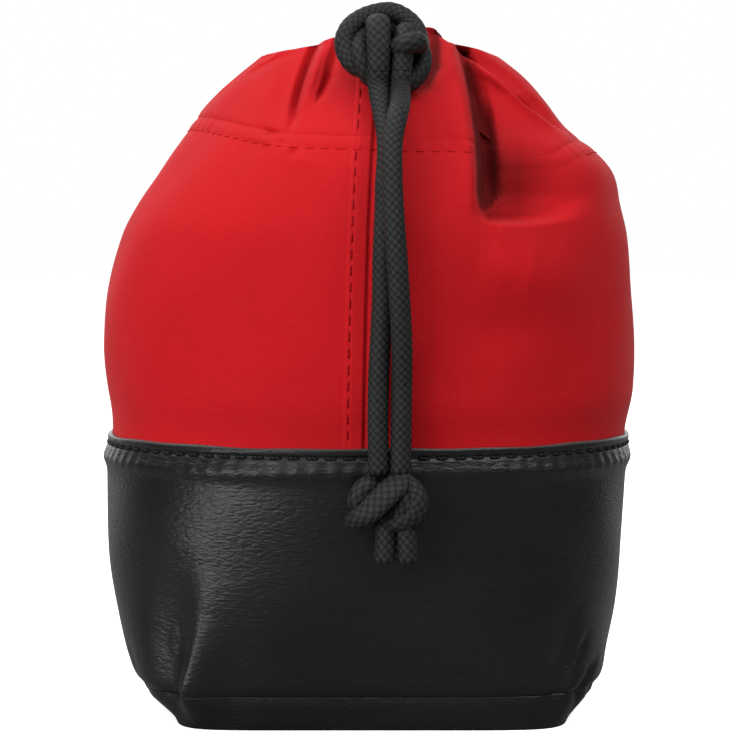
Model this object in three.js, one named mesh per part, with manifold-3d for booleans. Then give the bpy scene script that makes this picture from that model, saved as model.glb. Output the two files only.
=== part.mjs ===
// A drawstring pouch for a camera lens: a black leather base with a rounded-square bottom, a red
// canvas upper that is gathered at its mouth by a doubled cord, and a padded, lined inside.
// Millimetres, +Z up, the front faces -Y, the origin is on the floor under the pouch's middle.

import * as THREE from "three";
import { mergeVertices } from "three/addons/utils/BufferGeometryUtils.js";
import Module from "manifold-3d";

const wasm = await Module();
wasm.setup();

// Driving dimensions

const leatherTop = 53; // height of the leather's raw upper edge
const leatherStitch = 51.2; // height of the row of stitches below that edge
const bottomSeam = 5; // height of the turned seam between wall and bottom panel
const hemSeam = 112; // height of the seam that joins the cord channel to the wall
const hemStitch = 109; // height of the row of stitches below that seam
const paddingTop = 93; // the padding ends below the gathers
const liningTop = 108;
const liningDrawnIn = 5.5; // how much further in than the wall the lining is gathered at its top

const leatherThick = 1.4;
const floorThick = 1.6; // of the leather bottom under the board
const canvasThick = 1;
const paddingThick = 3;
const liningThick = 0.8;
const boardThick = 1.5;
const gap = 0.3; // between neighbouring pieces
const canvasOverlap = 10; // how far the canvas runs down behind the leather
const canvasSwell = 9; // height over which it comes out above the leather's edge

const cordRadius = 1.9;
const threadThick = 0.5;

const around = 64; // points round the gathered canvas
const aroundLeather = 48;
const aroundInside = 32; // points round a piece that is hidden inside
const aroundCord = 8;

// The flat layers in the bottom: lower face, thickness and inset of the edge from the outer face
const boardLayer = { low: 1.9, thick: boardThick, inset: 4 };
const paddingLayer = { low: 3.7, thick: 4, inset: 7 };
const liningLayer = { low: 8, thick: liningThick, inset: 8.4 };
const liningLow = 9.2;
const insideHeights = [liningLow, 16, 27, 42, leatherTop, 62, 78]; // rows of the hidden walls

// The outer face from the floor to the mouth: half widths, half depth and how square it is
// (2 is an ellipse, and more is squarer).
const outline = [
  { z: 0, left: 38, right: 39.4, deep: 42.9, square: 7 },
  { z: 1, left: 39.2, right: 40, deep: 43.2, square: 6.7 },
  { z: 2.5, left: 41, right: 41, deep: 43.5, square: 6.2 },
  { z: 5, left: 43.9, right: 44.1, deep: 44.1, square: 5.4 },
  { z: 8.5, left: 45.8, right: 45.6, deep: 44.8, square: 4.6 },
  { z: 12.6, left: 47.4, right: 46.6, deep: 45.6, square: 4.05 },
  { z: 20, left: 49.4, right: 48.2, deep: 47, square: 3.4 },
  { z: 30, left: 51.4, right: 49.9, deep: 48.8, square: 2.8 },
  { z: 40, left: 52, right: 50.9, deep: 50, square: 2.45 },
  { z: 53, left: 51.8, right: 52, deep: 50.5, square: 2.15 },
  { z: 60, left: 51.4, right: 52.6, deep: 50.8, square: 2.1 },
  { z: 71, left: 52.4, right: 52.8, deep: 51.3, square: 2.05 },
  { z: 81, left: 51.9, right: 52.4, deep: 51.1, square: 2.05 },
  { z: 92, left: 48.8, right: 51.8, deep: 50, square: 2.05 },
  { z: 98, left: 45.6, right: 50.5, deep: 48.1, square: 2.05 },
  { z: 104, left: 41.5, right: 49.1, deep: 45.2, square: 2.05 },
  { z: 108, left: 38.9, right: 45.9, deep: 42.3, square: 2.05 },
  { z: 113, left: 35.3, right: 39.6, deep: 37.8, square: 2.05 },
  { z: 118.6, left: 31.4, right: 35.2, deep: 32.2, square: 2.05 },
  { z: 123.4, left: 26.6, right: 31.2, deep: 27.4, square: 2.05 },
  { z: 128.2, left: 21, right: 25, deep: 21.6, square: 2.05 },
  { z: 131.2, left: 17.2, right: 20.8, deep: 17.4, square: 2.05 },
];

// The gathers: azimuth from the front towards +X, half width, both in degrees, depth at the
// mouth, lowest height, and the height over which a gather deepens.
const gathers = [
  { at: -24, wide: 4.5, deep: 8, from: 108, onset: 12 },
  { at: -14, wide: 3.2, deep: 5, from: 115, onset: 8 },
  { at: 33, wide: 5, deep: 8.5, from: 94, onset: 9 },
  { at: 46, wide: 4, deep: 6, from: 100, onset: 12 },
  { at: 78, wide: 7, deep: 7, from: 106, onset: 14 },
  { at: 108, wide: 6, deep: 8, from: 98, onset: 14 },
  { at: 139, wide: 6, deep: 7, from: 104, onset: 12 },
  { at: 168, wide: 6, deep: 8, from: 96, onset: 14 },
  { at: 199, wide: 6, deep: 7, from: 103, onset: 12 },
  { at: 230, wide: 6.5, deep: 8, from: 98, onset: 14 },
  { at: 262, wide: 5.5, deep: 5, from: 112, onset: 10 },
  { at: 290, wide: 5, deep: 5, from: 114, onset: 10 },
  { at: 315, wide: 5.5, deep: 6, from: 110, onset: 12 },
];
const tightest = 16.5; // no gather draws the outer face nearer to the axis than this

// The mouth: a ring of cord in the channel, and the canvas ring inside it
const mouthMiddle = 2; // its offset to +X
const cordRingHeight = 126.3;
const holeRadius = 8;
const rimHeight = 131.2; // where the outer layer turns over into the mouth
const rimCrest = 132.2;
const cordExits = [-0.4, 5.2]; // x of the two holes where the cord leaves the channel
const cordExitRadius = 2.5;
// Height and radius down the hole and under the cord, and back up inside the channel
const holeFace = [[131.0, holeRadius], [123.4, holeRadius], [119.8, 13.7], [116.4, 21.4]];
const channelFace = [[117.4, 21.9], [120.4, 15.2], [123.6, 9.4], [129.4, 9]];
const roof = { z: 130.2, radius: 9, crest: 131.0 };

// The felled side seam: azimuth in degrees and height of its lower and its upper end
const sideSeam = { low: -4.3, high: -3.1, from: 55, to: 108 };

// Cord routes, chosen by hand: the right tail lies on the left one below the mouth knot, and
// rolls down beside it above the leather.
const leftTail = [
  [1.9, -37.3, 119.3],
  [2.7, -40.9, 114.6],
  [3.4, -44.9, 110.6],
  [3.5, -48.0, 106.2],
  [3.2, -50.4, 101.5],
  [3.1, -51.8, 96.8],
  [2.9, -53.0, 92.2],
  [2.7, -53.7, 87.5],
  [2.6, -54.2, 80.0],
  [2.2, -54.4, 72.0],
  [1.9, -54.4, 65.0],
  [1.8, -54.4, 58.0],
  [1.9, -54.4, 49.6],
];
const rightTail = [
  [6.0, -37.3, 119.3],
  [5.9, -43.0, 116.1],
  [5.3, -48.1, 113.5],
  [4.4, -51.7, 108.8],
  [4.3, -54.5, 103.5],
  [4.5, -56.1, 98.0],
  [4.8, -57.1, 93.0],
  [5.2, -57.5, 87.8],
  [5.7, -57.3, 80.0],
  [6.1, -56.2, 72.0],
  [6.1, -54.8, 65.0],
  [6.0, -54.4, 58.0],
  [5.9, -54.4, 49.6],
];
const channelRoute = [
  [-0.4, -25.8],
  [-0.4, -18.0],
  [-1.3, -13.5],
  [-3.8, -10.0],
  [-6.8, -7.4],
  [-9.5, 0.0],
  [-6.2, 8.1],
  [2.0, 11.5],
  [10.2, 8.1],
  [13.5, 0.0],
  [10.9, -7.1],
  [7.8, -9.9],
  [5.7, -13.0],
  [5.2, -18.0],
  [5.2, -25.8],
].map(([x, y]) => [x, y, cordRingHeight]);
// The mouth knot: a leaning ring, two strands over its top to the tails, and a tuck at the right
const mouthKnot = { x: 3.2, y: -29.6, z: 127.5, ring: 6.8, lean: 0.56 };
const mouthKnotCore = { middle: [3.2, -31.0, 128.3], radii: [6.2, 3.4, 5] };
const overTop = [
  [0, -26.2, 130.8],
  [0, -28.6, 134.2],
  [0, -32.2, 132.8],
  [0, -33.4, 127.6],
  [0, -35.0, 123.4],
];
const overTopX = [1.9, 6.0];
const tuck = [
  [9.6, -32.0, 129.2],
  [10.2, -34.6, 126.4],
  [6.6, -34.2, 124.6],
];
// The knot at the tails' lower end
const tailKnotStrands = [
  [[6.6, -54.6, 47.2], [4.6, -57.0, 46.4], [1.4, -57.8, 43.4], [-1.7, -56.2, 40.6], [-2.1, -53.8, 41.0]],
  [[1.4, -54.0, 46.6], [-0.6, -56.0, 45.6], [0.8, -57.2, 42.2], [3.2, -56.0, 40.2], [4.4, -53.8, 41.0]],
  [[5.4, -53.8, 46.2], [8.4, -55.2, 46.4], [9.7, -56.0, 43.6], [7.8, -56.2, 40.6], [4.6, -54.4, 40.4]],
];
const tailKnotCore = { middle: [3.6, -54.9, 43.4], radii: [5, 3, 3.6] };
const cordEnds = { y: -54.8, top: 38.0, low: 33.3, left: 3.0, right: 7.1 };

// Finishes

const leather = new THREE.MeshStandardMaterial({ color: 0x1f1e20, roughness: 0.5, metalness: 0 });
const canvas = new THREE.MeshStandardMaterial({ color: 0xc01c22, roughness: 0.85, metalness: 0 });
const cord = new THREE.MeshStandardMaterial({ color: 0x2c302f, roughness: 0.7, metalness: 0 });
const blackThread = new THREE.MeshStandardMaterial({ color: 0x141414, roughness: 0.6, metalness: 0 });
const redThread = new THREE.MeshStandardMaterial({ color: 0x6e0a10, roughness: 0.7, metalness: 0 });
const foam = new THREE.MeshStandardMaterial({ color: 0x6b6b6e, roughness: 0.95, metalness: 0 });
const lining = new THREE.MeshStandardMaterial({ color: 0x3a3a3e, roughness: 0.95, metalness: 0 });
const board = new THREE.MeshStandardMaterial({ color: 0x8a8577, roughness: 0.8, metalness: 0 });

// The outer face

// A value of the outline at a height: a cubic through the stations, with slopes from neighbours.
function outlineAt(key, z) {
  const last = outline.length - 1;
  let i = 0;
  while (i < last - 1 && outline[i + 1].z < z) i += 1;
  const slope = (k) => {
    const a = outline[Math.max(k - 1, 0)];
    const b = outline[Math.min(k + 1, last)];
    return (b[key] - a[key]) / (b.z - a.z);
  };
  const from = outline[i];
  const to = outline[i + 1];
  const span = to.z - from.z;
  const t = THREE.MathUtils.clamp((z - from.z) / span, 0, 1);
  const rise = t * t * (3 - 2 * t);
  const bend = slope(i) * (t - 2 * t * t + t ** 3) + slope(i + 1) * (t ** 3 - t * t);
  return from[key] + (to[key] - from[key]) * rise + span * bend;
}

// How deep the gathers are at an azimuth (radians) and height.
function gatherDepth(azimuth, z) {
  let depth = 0;
  for (const gather of gathers) {
    let away = THREE.MathUtils.radToDeg(azimuth) - gather.at;
    away -= 360 * Math.round(away / 360);
    const grown = THREE.MathUtils.smoothstep(z, gather.from, gather.from + gather.onset);
    depth += gather.deep * grown * Math.exp(-((away / gather.wide) ** 2));
  }
  return depth;
}

// The outer face's distance from the axis, drawn in by the gathers.
function faceRadius(azimuth, z) {
  const s = Math.sin(azimuth);
  const c = Math.cos(azimuth);
  const wide = outlineAt(s < 0 ? "left" : "right", z);
  const deep = outlineAt("deep", z);
  const square = outlineAt("square", z);
  const full = (Math.abs(s / wide) ** square + Math.abs(c / deep) ** square) ** (-1 / square);
  return Math.max(full - gatherDepth(azimuth, z), Math.min(full, tightest));
}

// A closed row of points at a height, set in from the outer face.
function row(z, inset, count = around) {
  return Array.from({ length: count }, (_, i) => {
    const azimuth = (2 * Math.PI * i) / count;
    const r = faceRadius(azimuth, z) - inset;
    return new THREE.Vector3(r * Math.sin(azimuth), -r * Math.cos(azimuth), z);
  });
}

// A round row about the mouth's own middle.
function roundRow(z, radius, count = around) {
  return Array.from({ length: count }, (_, i) => {
    const azimuth = (2 * Math.PI * i) / count;
    return new THREE.Vector3(mouthMiddle + radius * Math.sin(azimuth), -radius * Math.cos(azimuth), z);
  });
}

// A row part of the way from one row to another.
function between(low, high, share, z) {
  return low.map((p, i) => p.clone().lerp(high[i], share).setZ(z));
}

// Closed surfaces

// A geometry of vertices and triangles, turned so that its faces point out.
function closedGeometry(vertices, triangles) {
  let volume = 0;
  for (const [a, b, c] of triangles) {
    volume += vertices[a].dot(vertices[b].clone().cross(vertices[c]));
  }
  const turned = volume < 0 ? triangles.map(([a, b, c]) => [a, c, b]) : triangles;
  const geometry = new THREE.BufferGeometry().setFromPoints(vertices);
  geometry.setIndex(turned.flat());
  geometry.computeVertexNormals();
  return geometry;
}

// A band of triangles between two rows that start at the given vertex numbers.
function band(first, second, count) {
  return Array.from({ length: count }, (_, i) => {
    const next = (i + 1) % count;
    return [
      [first + i, first + next, second + next],
      [first + i, second + next, second + i],
    ];
  }).flat();
}

// A tube-like wall: the rows run up one face and back down the other, and close on the first.
function wall(rows) {
  const count = rows[0].length;
  const triangles = rows.flatMap((_, k) => band(k * count, ((k + 1) % rows.length) * count, count));
  return closedGeometry(rows.flat(), triangles);
}

// A plate or tray: the rows run from its underside's middle round to its upper side's middle.
function plate(rows) {
  const count = rows[0].length;
  const vertices = rows.flat();
  const triangles = rows.slice(1).flatMap((_, k) => band(k * count, (k + 1) * count, count));
  const under = vertices.push(new THREE.Vector3(0, 0, rows[0][0].z)) - 1;
  const upper = vertices.push(new THREE.Vector3(0, 0, rows[rows.length - 1][0].z)) - 1;
  const lastRow = (rows.length - 1) * count;
  for (let i = 0; i < count; i += 1) {
    const next = (i + 1) % count;
    triangles.push([under, next, i], [upper, lastRow + i, lastRow + next]);
  }
  return closedGeometry(vertices, triangles);
}

// A length of cord along hand-chosen points.
function tube(points, steps) {
  const section = new THREE.Shape(
    Array.from({ length: aroundCord }, (_, i) => {
      const turn = (2 * Math.PI * i) / aroundCord;
      return new THREE.Vector2(cordRadius * Math.cos(turn), cordRadius * Math.sin(turn));
    }),
  );
  const path = new THREE.CatmullRomCurve3(points.map((p) => new THREE.Vector3(...p)));
  return new THREE.ExtrudeGeometry(section, { steps, bevelEnabled: false, extrudePath: path });
}

function ball(centre, radii = [cordRadius, cordRadius, cordRadius]) {
  return new THREE.SphereGeometry(1, 10, 6).scale(...radii).translate(...centre);
}

// Joining and cutting

function toSolid(geometry) {
  const bare = geometry.index ? geometry.toNonIndexed() : geometry.clone();
  bare.deleteAttribute("normal");
  bare.deleteAttribute("uv");
  const merged = mergeVertices(bare, 1e-4);
  return new wasm.Manifold(
    new wasm.Mesh({
      numProp: 3,
      vertProperties: merged.attributes.position.array,
      triVerts: new Uint32Array(merged.index.array),
    }),
  );
}

function fromSolid(solid) {
  const mesh = solid.getMesh();
  const geometry = new THREE.BufferGeometry();
  geometry.setAttribute("position", new THREE.BufferAttribute(mesh.vertProperties, 3));
  geometry.setIndex(new THREE.BufferAttribute(mesh.triVerts, 1));
  geometry.computeVertexNormals();
  return geometry;
}

function joined(geometries) {
  return fromSolid(geometries.map(toSolid).reduce((sum, next) => sum.add(next)));
}

// Insets of the layers from the outer face

const canvasBehind = leatherThick + gap; // the canvas where the leather covers it
const paddingBehind = canvasThick + 3 * gap; // counted from the canvas's outer face
const liningBehind = paddingBehind + paddingThick + 3 * gap;

// The canvas comes out from behind the leather's edge and swells to the full outline.
function canvasInset(z) {
  return canvasBehind * (1 - THREE.MathUtils.smoothstep(z, leatherTop, leatherTop + canvasSwell));
}

// Leather

function leatherWall() {
  const heights = [bottomSeam + gap, 9, 14, 20, 28, 36, 44.5, leatherTop];
  const outer = heights.map((z) => row(z, 0, aroundLeather));
  const downwards = [leatherTop, 42, 28, 16, bottomSeam + gap];
  const inner = downwards.map((z) => row(z, leatherThick, aroundLeather));
  return wall([...outer, ...inner]);
}

function leatherBottom() {
  const outer = [0, 1, 2.5, bottomSeam].map((z) => row(z, 0, aroundLeather));
  const inner = row(bottomSeam, leatherThick, aroundLeather);
  return plate([...outer, inner, row(floorThick, leatherThick + 1.2, aroundLeather)]);
}

// Canvas

function canvasWall() {
  const low = leatherTop - canvasOverlap;
  const heights = [low, leatherTop, 58, 64, 78, 90, 97, 104, hemStitch, hemSeam - gap];
  const outer = heights.map((z) => row(z, canvasInset(z)));
  const downwards = [hemSeam - gap, hemStitch, 104, 97, paddingTop, 78, 62, leatherTop, low];
  const inner = downwards.map((z) => row(z, canvasInset(z) + canvasThick));
  return wall([...outer, ...inner]);
}

// The channel is a doubled band: its outer layer goes up from the seam, over the rim, and its
// inner layer comes back down to the seam under the cord.
function mouthChannel() {
  const outerHeights = [hemSeam, 116, 120, 124, 128, rimHeight];
  const outer = outerHeights.map((z) => row(z, 0));
  const rim = between(row(rimHeight, 0), roundRow(rimHeight, holeRadius), 0.5, rimCrest);
  const down = holeFace.map(([z, radius]) => roundRow(z, radius));
  const lowerEdge = [row(hemSeam, canvasThick + 1.3), row(hemSeam + 0.8, canvasThick + gap + 0.1)];
  const up = channelFace.map(([z, radius]) => roundRow(z, radius));
  const above = between(row(roof.z, canvasThick), roundRow(roof.z, roof.radius), 0.5, roof.crest);
  const under = outerHeights.slice(0, -1).reverse().map((z) => row(z, canvasThick));
  const whole = toSolid(wall([...outer, rim, ...down, ...lowerEdge, ...up, above, ...under]));
  const holes = cordExits.map((x) =>
    toSolid(
      new THREE.CylinderGeometry(cordExitRadius, cordExitRadius, 14, 16).translate(x, -23, cordRingHeight),
    ),
  );
  return fromSolid(holes.reduce((left, hole) => left.subtract(hole), whole));
}

// Inside

function wallPadding() {
  const heights = [bottomSeam, ...insideHeights, paddingTop];
  const inset = (z) => canvasInset(z) + paddingBehind;
  const outer = heights.map((z) => row(z, inset(z), aroundInside));
  const inner = heights.map((z) => row(z, inset(z) + paddingThick, aroundInside)).reverse();
  return wall([...outer, ...inner]);
}

function liningWall() {
  const heights = [...insideHeights, paddingTop, 101, liningTop];
  const drawnIn = (z) => liningDrawnIn * THREE.MathUtils.smoothstep(z, paddingTop - 2, liningTop);
  const inset = (z) => canvasInset(z) + liningBehind + drawnIn(z);
  const outer = heights.map((z) => row(z, inset(z), aroundInside));
  const inner = heights.map((z) => row(z, inset(z) + liningThick, aroundInside)).reverse();
  return wall([...outer, ...inner]);
}

// A flat disc that keeps an inset from the outer face.
function disc({ low, thick, inset }) {
  const edge = row(low, inset, aroundInside);
  return plate([edge, edge.map((p) => p.clone().setZ(low + thick))]);
}

// Thread: a thin ring or line that lies just outside the cloth

function threadRing(z, count, clear) {
  const near = -clear;
  const far = near - threadThick;
  const high = z + threadThick;
  const corners = [[z, near], [high, near], [high, far], [z, far]];
  return wall(corners.map(([height, inset]) => row(height, inset, count)));
}

function seamThread() {
  const { low, high, from, to } = sideSeam;
  const steps = 24;
  const corner = (azimuth, z, out) => {
    const r = faceRadius(azimuth, z) - canvasInset(z) + out;
    return new THREE.Vector3(r * Math.sin(azimuth), -r * Math.cos(azimuth), z);
  };
  const sections = Array.from({ length: steps + 1 }, (_, i) => {
    const z = from + ((to - from) * i) / steps;
    const side = THREE.MathUtils.degToRad(low + ((high - low) * i) / steps);
    const half = threadThick / 2 / faceRadius(side, z);
    return [
      corner(side - half, z, gap),
      corner(side + half, z, gap),
      corner(side + half, z, gap + threadThick),
      corner(side - half, z, gap + threadThick),
    ];
  });
  const triangles = sections.slice(1).flatMap((_, k) => band(4 * k, 4 * (k + 1), 4));
  const end = 4 * steps;
  triangles.push([0, 2, 1], [0, 3, 2], [end, end + 1, end + 2], [end, end + 2, end + 3]);
  return closedGeometry(sections.flat(), triangles);
}

// Cord

// A tail starts in a rounded end, on which it swings, and is cut square at the lower knot.
function cordTail(points) {
  return joined([tube(points, 20), ball(points[0])]);
}

function mouthKnotSolid() {
  const { x, y, z, ring, lean } = mouthKnot;
  const loop = new THREE.TorusGeometry(ring, cordRadius, 8, 18);
  loop.rotateX(Math.PI / 2 - lean).translate(x, y, z);
  const core = ball(mouthKnotCore.middle, mouthKnotCore.radii);
  const strands = overTopX.flatMap((dx) => {
    const points = overTop.map(([px, py, pz]) => [px + dx, py, pz]);
    return [tube(points, 8), ball(points[points.length - 1])];
  });
  return joined([loop, core, ...strands, tube(tuck, 6)]);
}

function tailKnotSolid() {
  const core = ball(tailKnotCore.middle, tailKnotCore.radii);
  return joined([core, ...tailKnotStrands.map((points) => tube(points, 10))]);
}

function cordEnd(x) {
  const { y, top, low } = cordEnds;
  return new THREE.CylinderGeometry(cordRadius, cordRadius, top - low, 10)
    .rotateX(Math.PI / 2)
    .translate(x, y, (top + low) / 2);
}

// Assembly

const pouch = new THREE.Group();

function add(name, geometry, material) {
  const mesh = new THREE.Mesh(geometry, material);
  mesh.name = name;
  pouch.add(mesh);
}

add("leather_bottom", leatherBottom(), leather);
add("leather_wall", leatherWall(), leather);
add("canvas_wall", canvasWall(), canvas);
add("mouth_channel", mouthChannel(), canvas);
add("bottom_board", disc(boardLayer), board);
add("bottom_padding", disc(paddingLayer), foam);
add("wall_padding", wallPadding(), foam);
add("lining_bottom", disc(liningLayer), lining);
add("lining_wall", liningWall(), lining);
add("leather_edge_thread", threadRing(leatherStitch, aroundLeather, gap), blackThread);
add("hem_thread", threadRing(hemStitch, around, 2 * gap), redThread);
add("seam_thread", seamThread(), redThread);
add("channel_cord", tube(channelRoute, 36), cord);
add("mouth_knot", mouthKnotSolid(), cord);
add("cord_tail_left", cordTail(leftTail), cord);
add("cord_tail_right", cordTail(rightTail), cord);
add("tail_knot", tailKnotSolid(), cord);
add("cord_end_left", cordEnd(cordEnds.left), cord);
add("cord_end_right", cordEnd(cordEnds.right), cord);

export default pouch;
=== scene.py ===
# A drawstring lens pouch: a black leather base, a red canvas upper that is gathered at its mouth,
# and a doubled black cord tied in front, whose two tails are tied together again over the leather.
# Shapes are worked out in millimetres, the front faces -Y, and azimuth 0 is the front, towards +X.

import math

import bpy
import numpy as np
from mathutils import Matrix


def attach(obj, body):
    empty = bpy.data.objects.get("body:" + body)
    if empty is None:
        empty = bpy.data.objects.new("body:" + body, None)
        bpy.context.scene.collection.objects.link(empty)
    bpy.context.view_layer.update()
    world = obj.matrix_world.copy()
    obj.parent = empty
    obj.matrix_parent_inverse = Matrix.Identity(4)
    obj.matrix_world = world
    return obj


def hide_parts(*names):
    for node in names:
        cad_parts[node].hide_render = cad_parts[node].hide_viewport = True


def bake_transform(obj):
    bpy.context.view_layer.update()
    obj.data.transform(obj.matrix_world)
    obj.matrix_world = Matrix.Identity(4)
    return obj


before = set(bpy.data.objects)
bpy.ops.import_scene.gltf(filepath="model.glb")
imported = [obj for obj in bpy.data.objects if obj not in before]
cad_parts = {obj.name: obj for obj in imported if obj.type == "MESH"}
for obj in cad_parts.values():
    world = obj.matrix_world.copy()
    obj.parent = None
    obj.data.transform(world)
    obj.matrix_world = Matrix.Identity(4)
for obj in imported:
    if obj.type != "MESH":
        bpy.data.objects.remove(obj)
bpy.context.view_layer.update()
mm = 0.001
turn = 2 * math.pi
print("frame loaded")


def addObject(name, data, place=(0, 0, 0), angles=(0, 0, 0)):
    made = bpy.data.objects.new(name, data)
    made.location, made.rotation_euler = place, angles
    bpy.context.scene.collection.objects.link(made)
    return made


# Camera

cameraView = {"place": (0.0, -0.550, 0.092), "tiltDown": 2.77, "lens": 134.5}

cameraData = bpy.data.cameras.new("camera")
cameraData.lens = cameraView["lens"]
cameraData.clip_start = 0.05
bpy.context.scene.camera = addObject(
    "camera", cameraData, cameraView["place"], (math.radians(90 - cameraView["tiltDown"]), 0, 0))

# Meshes from whole arrays

gridCorners = ((0, 0), (0, 1), (1, 1), (1, 0))  # a face's corners, as steps in rows and in columns


def gridQuads(rows, columns):
    # Vertex i * columns + j joins its neighbours in the next row and the next column, which wraps.
    i, j = np.divmod(np.arange((rows - 1) * columns), columns)
    return np.stack([(i + di) * columns + (j + dj) % columns for di, dj in gridCorners], -1)


def gridPart(points, u, v, values=None, closed=False, poles=False):
    # points is (rows, columns, 3). u is the map's place of each column, and of the first once more
    # at the end, and v that of each row. closed joins the last row to the first; poles close both
    # end rows.
    rows, columns = points.shape[:2]
    flat = points.reshape(-1, 3)
    values = {name: value.ravel() for name, value in (values or {}).items()}
    v = np.append(v, v[-1] + 1)
    i, j = np.divmod(np.arange((rows - 1 + closed) * columns), columns)
    quadUv = np.stack([np.stack([u[j + dj], v[i + di]], -1) for di, dj in gridCorners], 1)
    triangles, triangleUv = np.zeros((0, 3), int), np.zeros((0, 3, 2))
    if poles:
        j = np.arange(columns)
        k = (j + 1) % columns
        pole, last = rows * columns + 0 * j, (rows - 1) * columns
        triangles = np.vstack([np.stack([pole, k, j], -1), np.stack([pole + 1, last + j, last + k], -1)])
        corners = np.vstack([np.column_stack([u[:-1], v[row] + 0 * j]) for row in (0, rows - 1)])
        triangleUv = np.repeat(corners[:, None], 3, 1)
        flat = np.vstack([flat, points[0].mean(0), points[-1].mean(0)])
        values = {name: np.append(value, [value[:columns].mean(), value[-columns:].mean()])
                  for name, value in values.items()}
    return {"points": flat, "quads": gridQuads(rows + closed, columns) % (rows * columns), "triangles": triangles,
            "quadUv": quadUv, "triangleUv": triangleUv, "values": values}


def makePiece(name, parts, material, body="pouch", replaces=()):
    # The parts' vertices and faces go into one mesh, in metres, with its object at the origin.
    counts = np.cumsum([0] + [len(p["points"]) for p in parts])
    points = np.vstack([p["points"] for p in parts]) * mm
    quads = np.vstack([p["quads"] + c for p, c in zip(parts, counts)])
    triangles = np.vstack([p["triangles"] + c for p, c in zip(parts, counts)])
    loops = np.concatenate([quads.ravel(), triangles.ravel()])
    starts = np.concatenate([np.arange(len(quads)) * 4, len(quads) * 4 + np.arange(len(triangles)) * 3])
    mesh = bpy.data.meshes.new(name)
    mesh.vertices.add(len(points))
    mesh.vertices.foreach_set("co", points.astype(np.float32).ravel())
    mesh.loops.add(len(loops))
    mesh.loops.foreach_set("vertex_index", loops.astype(np.int32))
    mesh.polygons.add(len(starts))
    mesh.polygons.foreach_set("loop_start", starts.astype(np.int32))
    mesh.polygons.foreach_set("use_smooth", np.ones(len(starts), bool))
    uv = np.concatenate([p[key].reshape(-1, 2) for key in ("quadUv", "triangleUv") for p in parts])
    mesh.uv_layers.new(name="surface").data.foreach_set("uv", uv.astype(np.float32).ravel())
    for key in parts[0]["values"]:
        value = np.concatenate([p["values"][key] for p in parts])
        mesh.attributes.new(key, "FLOAT", "POINT").data.foreach_set("value", value.astype(np.float32))
    mesh.update(calc_edges=True)
    mesh.materials.append(material)
    piece = addObject(name, mesh)
    if body:
        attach(piece, body)
    if replaces:
        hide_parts(*replaces)
    print("made", name, len(points), "points")
    return piece


def smoothstep(x, low, high):
    t = np.clip((x - low) / (high - low), 0, 1)
    return t * t * (3 - 2 * t)


def hermite(places, values, x):
    # A cubic through the values, whose slope at each is that of the line between its neighbours.
    places, values = np.asarray(places, float), np.asarray(values, float)
    slopes = np.empty_like(values)
    slopes[1:-1] = (values[2:] - values[:-2]) / (places[2:] - places[:-2])
    slopes[0] = (values[1] - values[0]) / (places[1] - places[0])
    slopes[-1] = (values[-1] - values[-2]) / (places[-1] - places[-2])
    i = np.clip(np.searchsorted(places, x, side="right") - 1, 0, len(places) - 2)
    span = places[i + 1] - places[i]
    t = np.clip((x - places[i]) / span, 0, 1)
    bend = slopes[i] * (t - 2 * t**2 + t**3) + slopes[i + 1] * (t**3 - t**2)
    return values[i] + (values[i + 1] - values[i]) * t * t * (3 - 2 * t) + span * bend


def round360(places, values, azimuth):
    # The same cubic round the pouch, for places in degrees from -180 to 180.
    around = np.concatenate([np.asarray(places, float) + shift for shift in (-360, 0, 360)])
    return hermite(around, np.tile(values, 3), (np.degrees(azimuth) + 180) % 360 - 180)


# Cord: a smooth line through points, and a braided tube along it

cordLook = {"radius": 1.9, "ringStep": 0.28, "sides": 60, "strands": 8, "pitch": 12.0, "relief": 0.085}
# The rings that round off a cord's end: how wide each is and how far past the end, as shares of the
# radius
cordEndRings = [(0.97, 0.18), (0.8, 0.42), (0.45, 0.6)]
cordU = np.arange(cordLook["sides"] + 1) / cordLook["sides"]


def evenly(line, step):
    lengths = np.concatenate([[0], np.cumsum(np.linalg.norm(np.diff(line, axis=0), axis=1))])
    count = max(2, int(round(lengths[-1] / step)) + 1)
    s = np.linspace(0, lengths[-1], count)
    return np.stack([np.interp(s, lengths, line[:, k]) for k in range(3)], 1)


def lineThrough(points, step=cordLook["ringStep"]):
    # Catmull-Rom: between two points the cubic whose slopes are half the chords of the neighbours.
    p = np.asarray(points, float)
    padded = np.vstack([2 * p[0] - p[1], p, 2 * p[-1] - p[-2]])
    t = np.linspace(0, len(p) - 1, 80 * len(p))
    i = np.minimum(t.astype(int), len(p) - 2)
    f = (t - i)[:, None]
    a, b, c, d = (padded[i + k] for k in range(4))
    line = 0.5 * (2 * b + (c - a) * f + (2 * a - 5 * b + 4 * c - d) * f**2 + (3 * b - a - 3 * c + d) * f**3)
    return evenly(line, step)


def framesAlong(line):
    # Each ring's side direction is the one before it, made square to the line again.
    tangents = np.gradient(line, axis=0)
    tangents /= np.linalg.norm(tangents, axis=1)[:, None]
    sides = np.empty_like(line)
    side = np.array([1.0, 0.0, 0.0])
    for i, tangent in enumerate(tangents):
        side = side - tangent * side.dot(tangent)
        side /= np.linalg.norm(side)
        sides[i] = side
    return tangents, sides, np.cross(tangents, sides)


def braid(angle, along):
    # Two families of strands wind round the cord in opposite directions. Each is a bulge across
    # itself that rises where it passes over the other family and dips where it passes under.
    p, q = (cordLook["strands"] * (angle / turn + way * along / cordLook["pitch"]) for way in (1, -1))
    sp, sq = np.sin(math.pi * p), np.sin(math.pi * q)
    over = smoothstep(sp * sq, -0.12, 0.12)
    acrossP, acrossQ = np.abs(sp) ** 0.7, np.abs(sq) ** 0.7
    return over * acrossP * (0.55 + 0.45 * np.abs(sq)) + (1 - over) * acrossQ * (0.55 + 0.45 * np.abs(sp))


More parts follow.
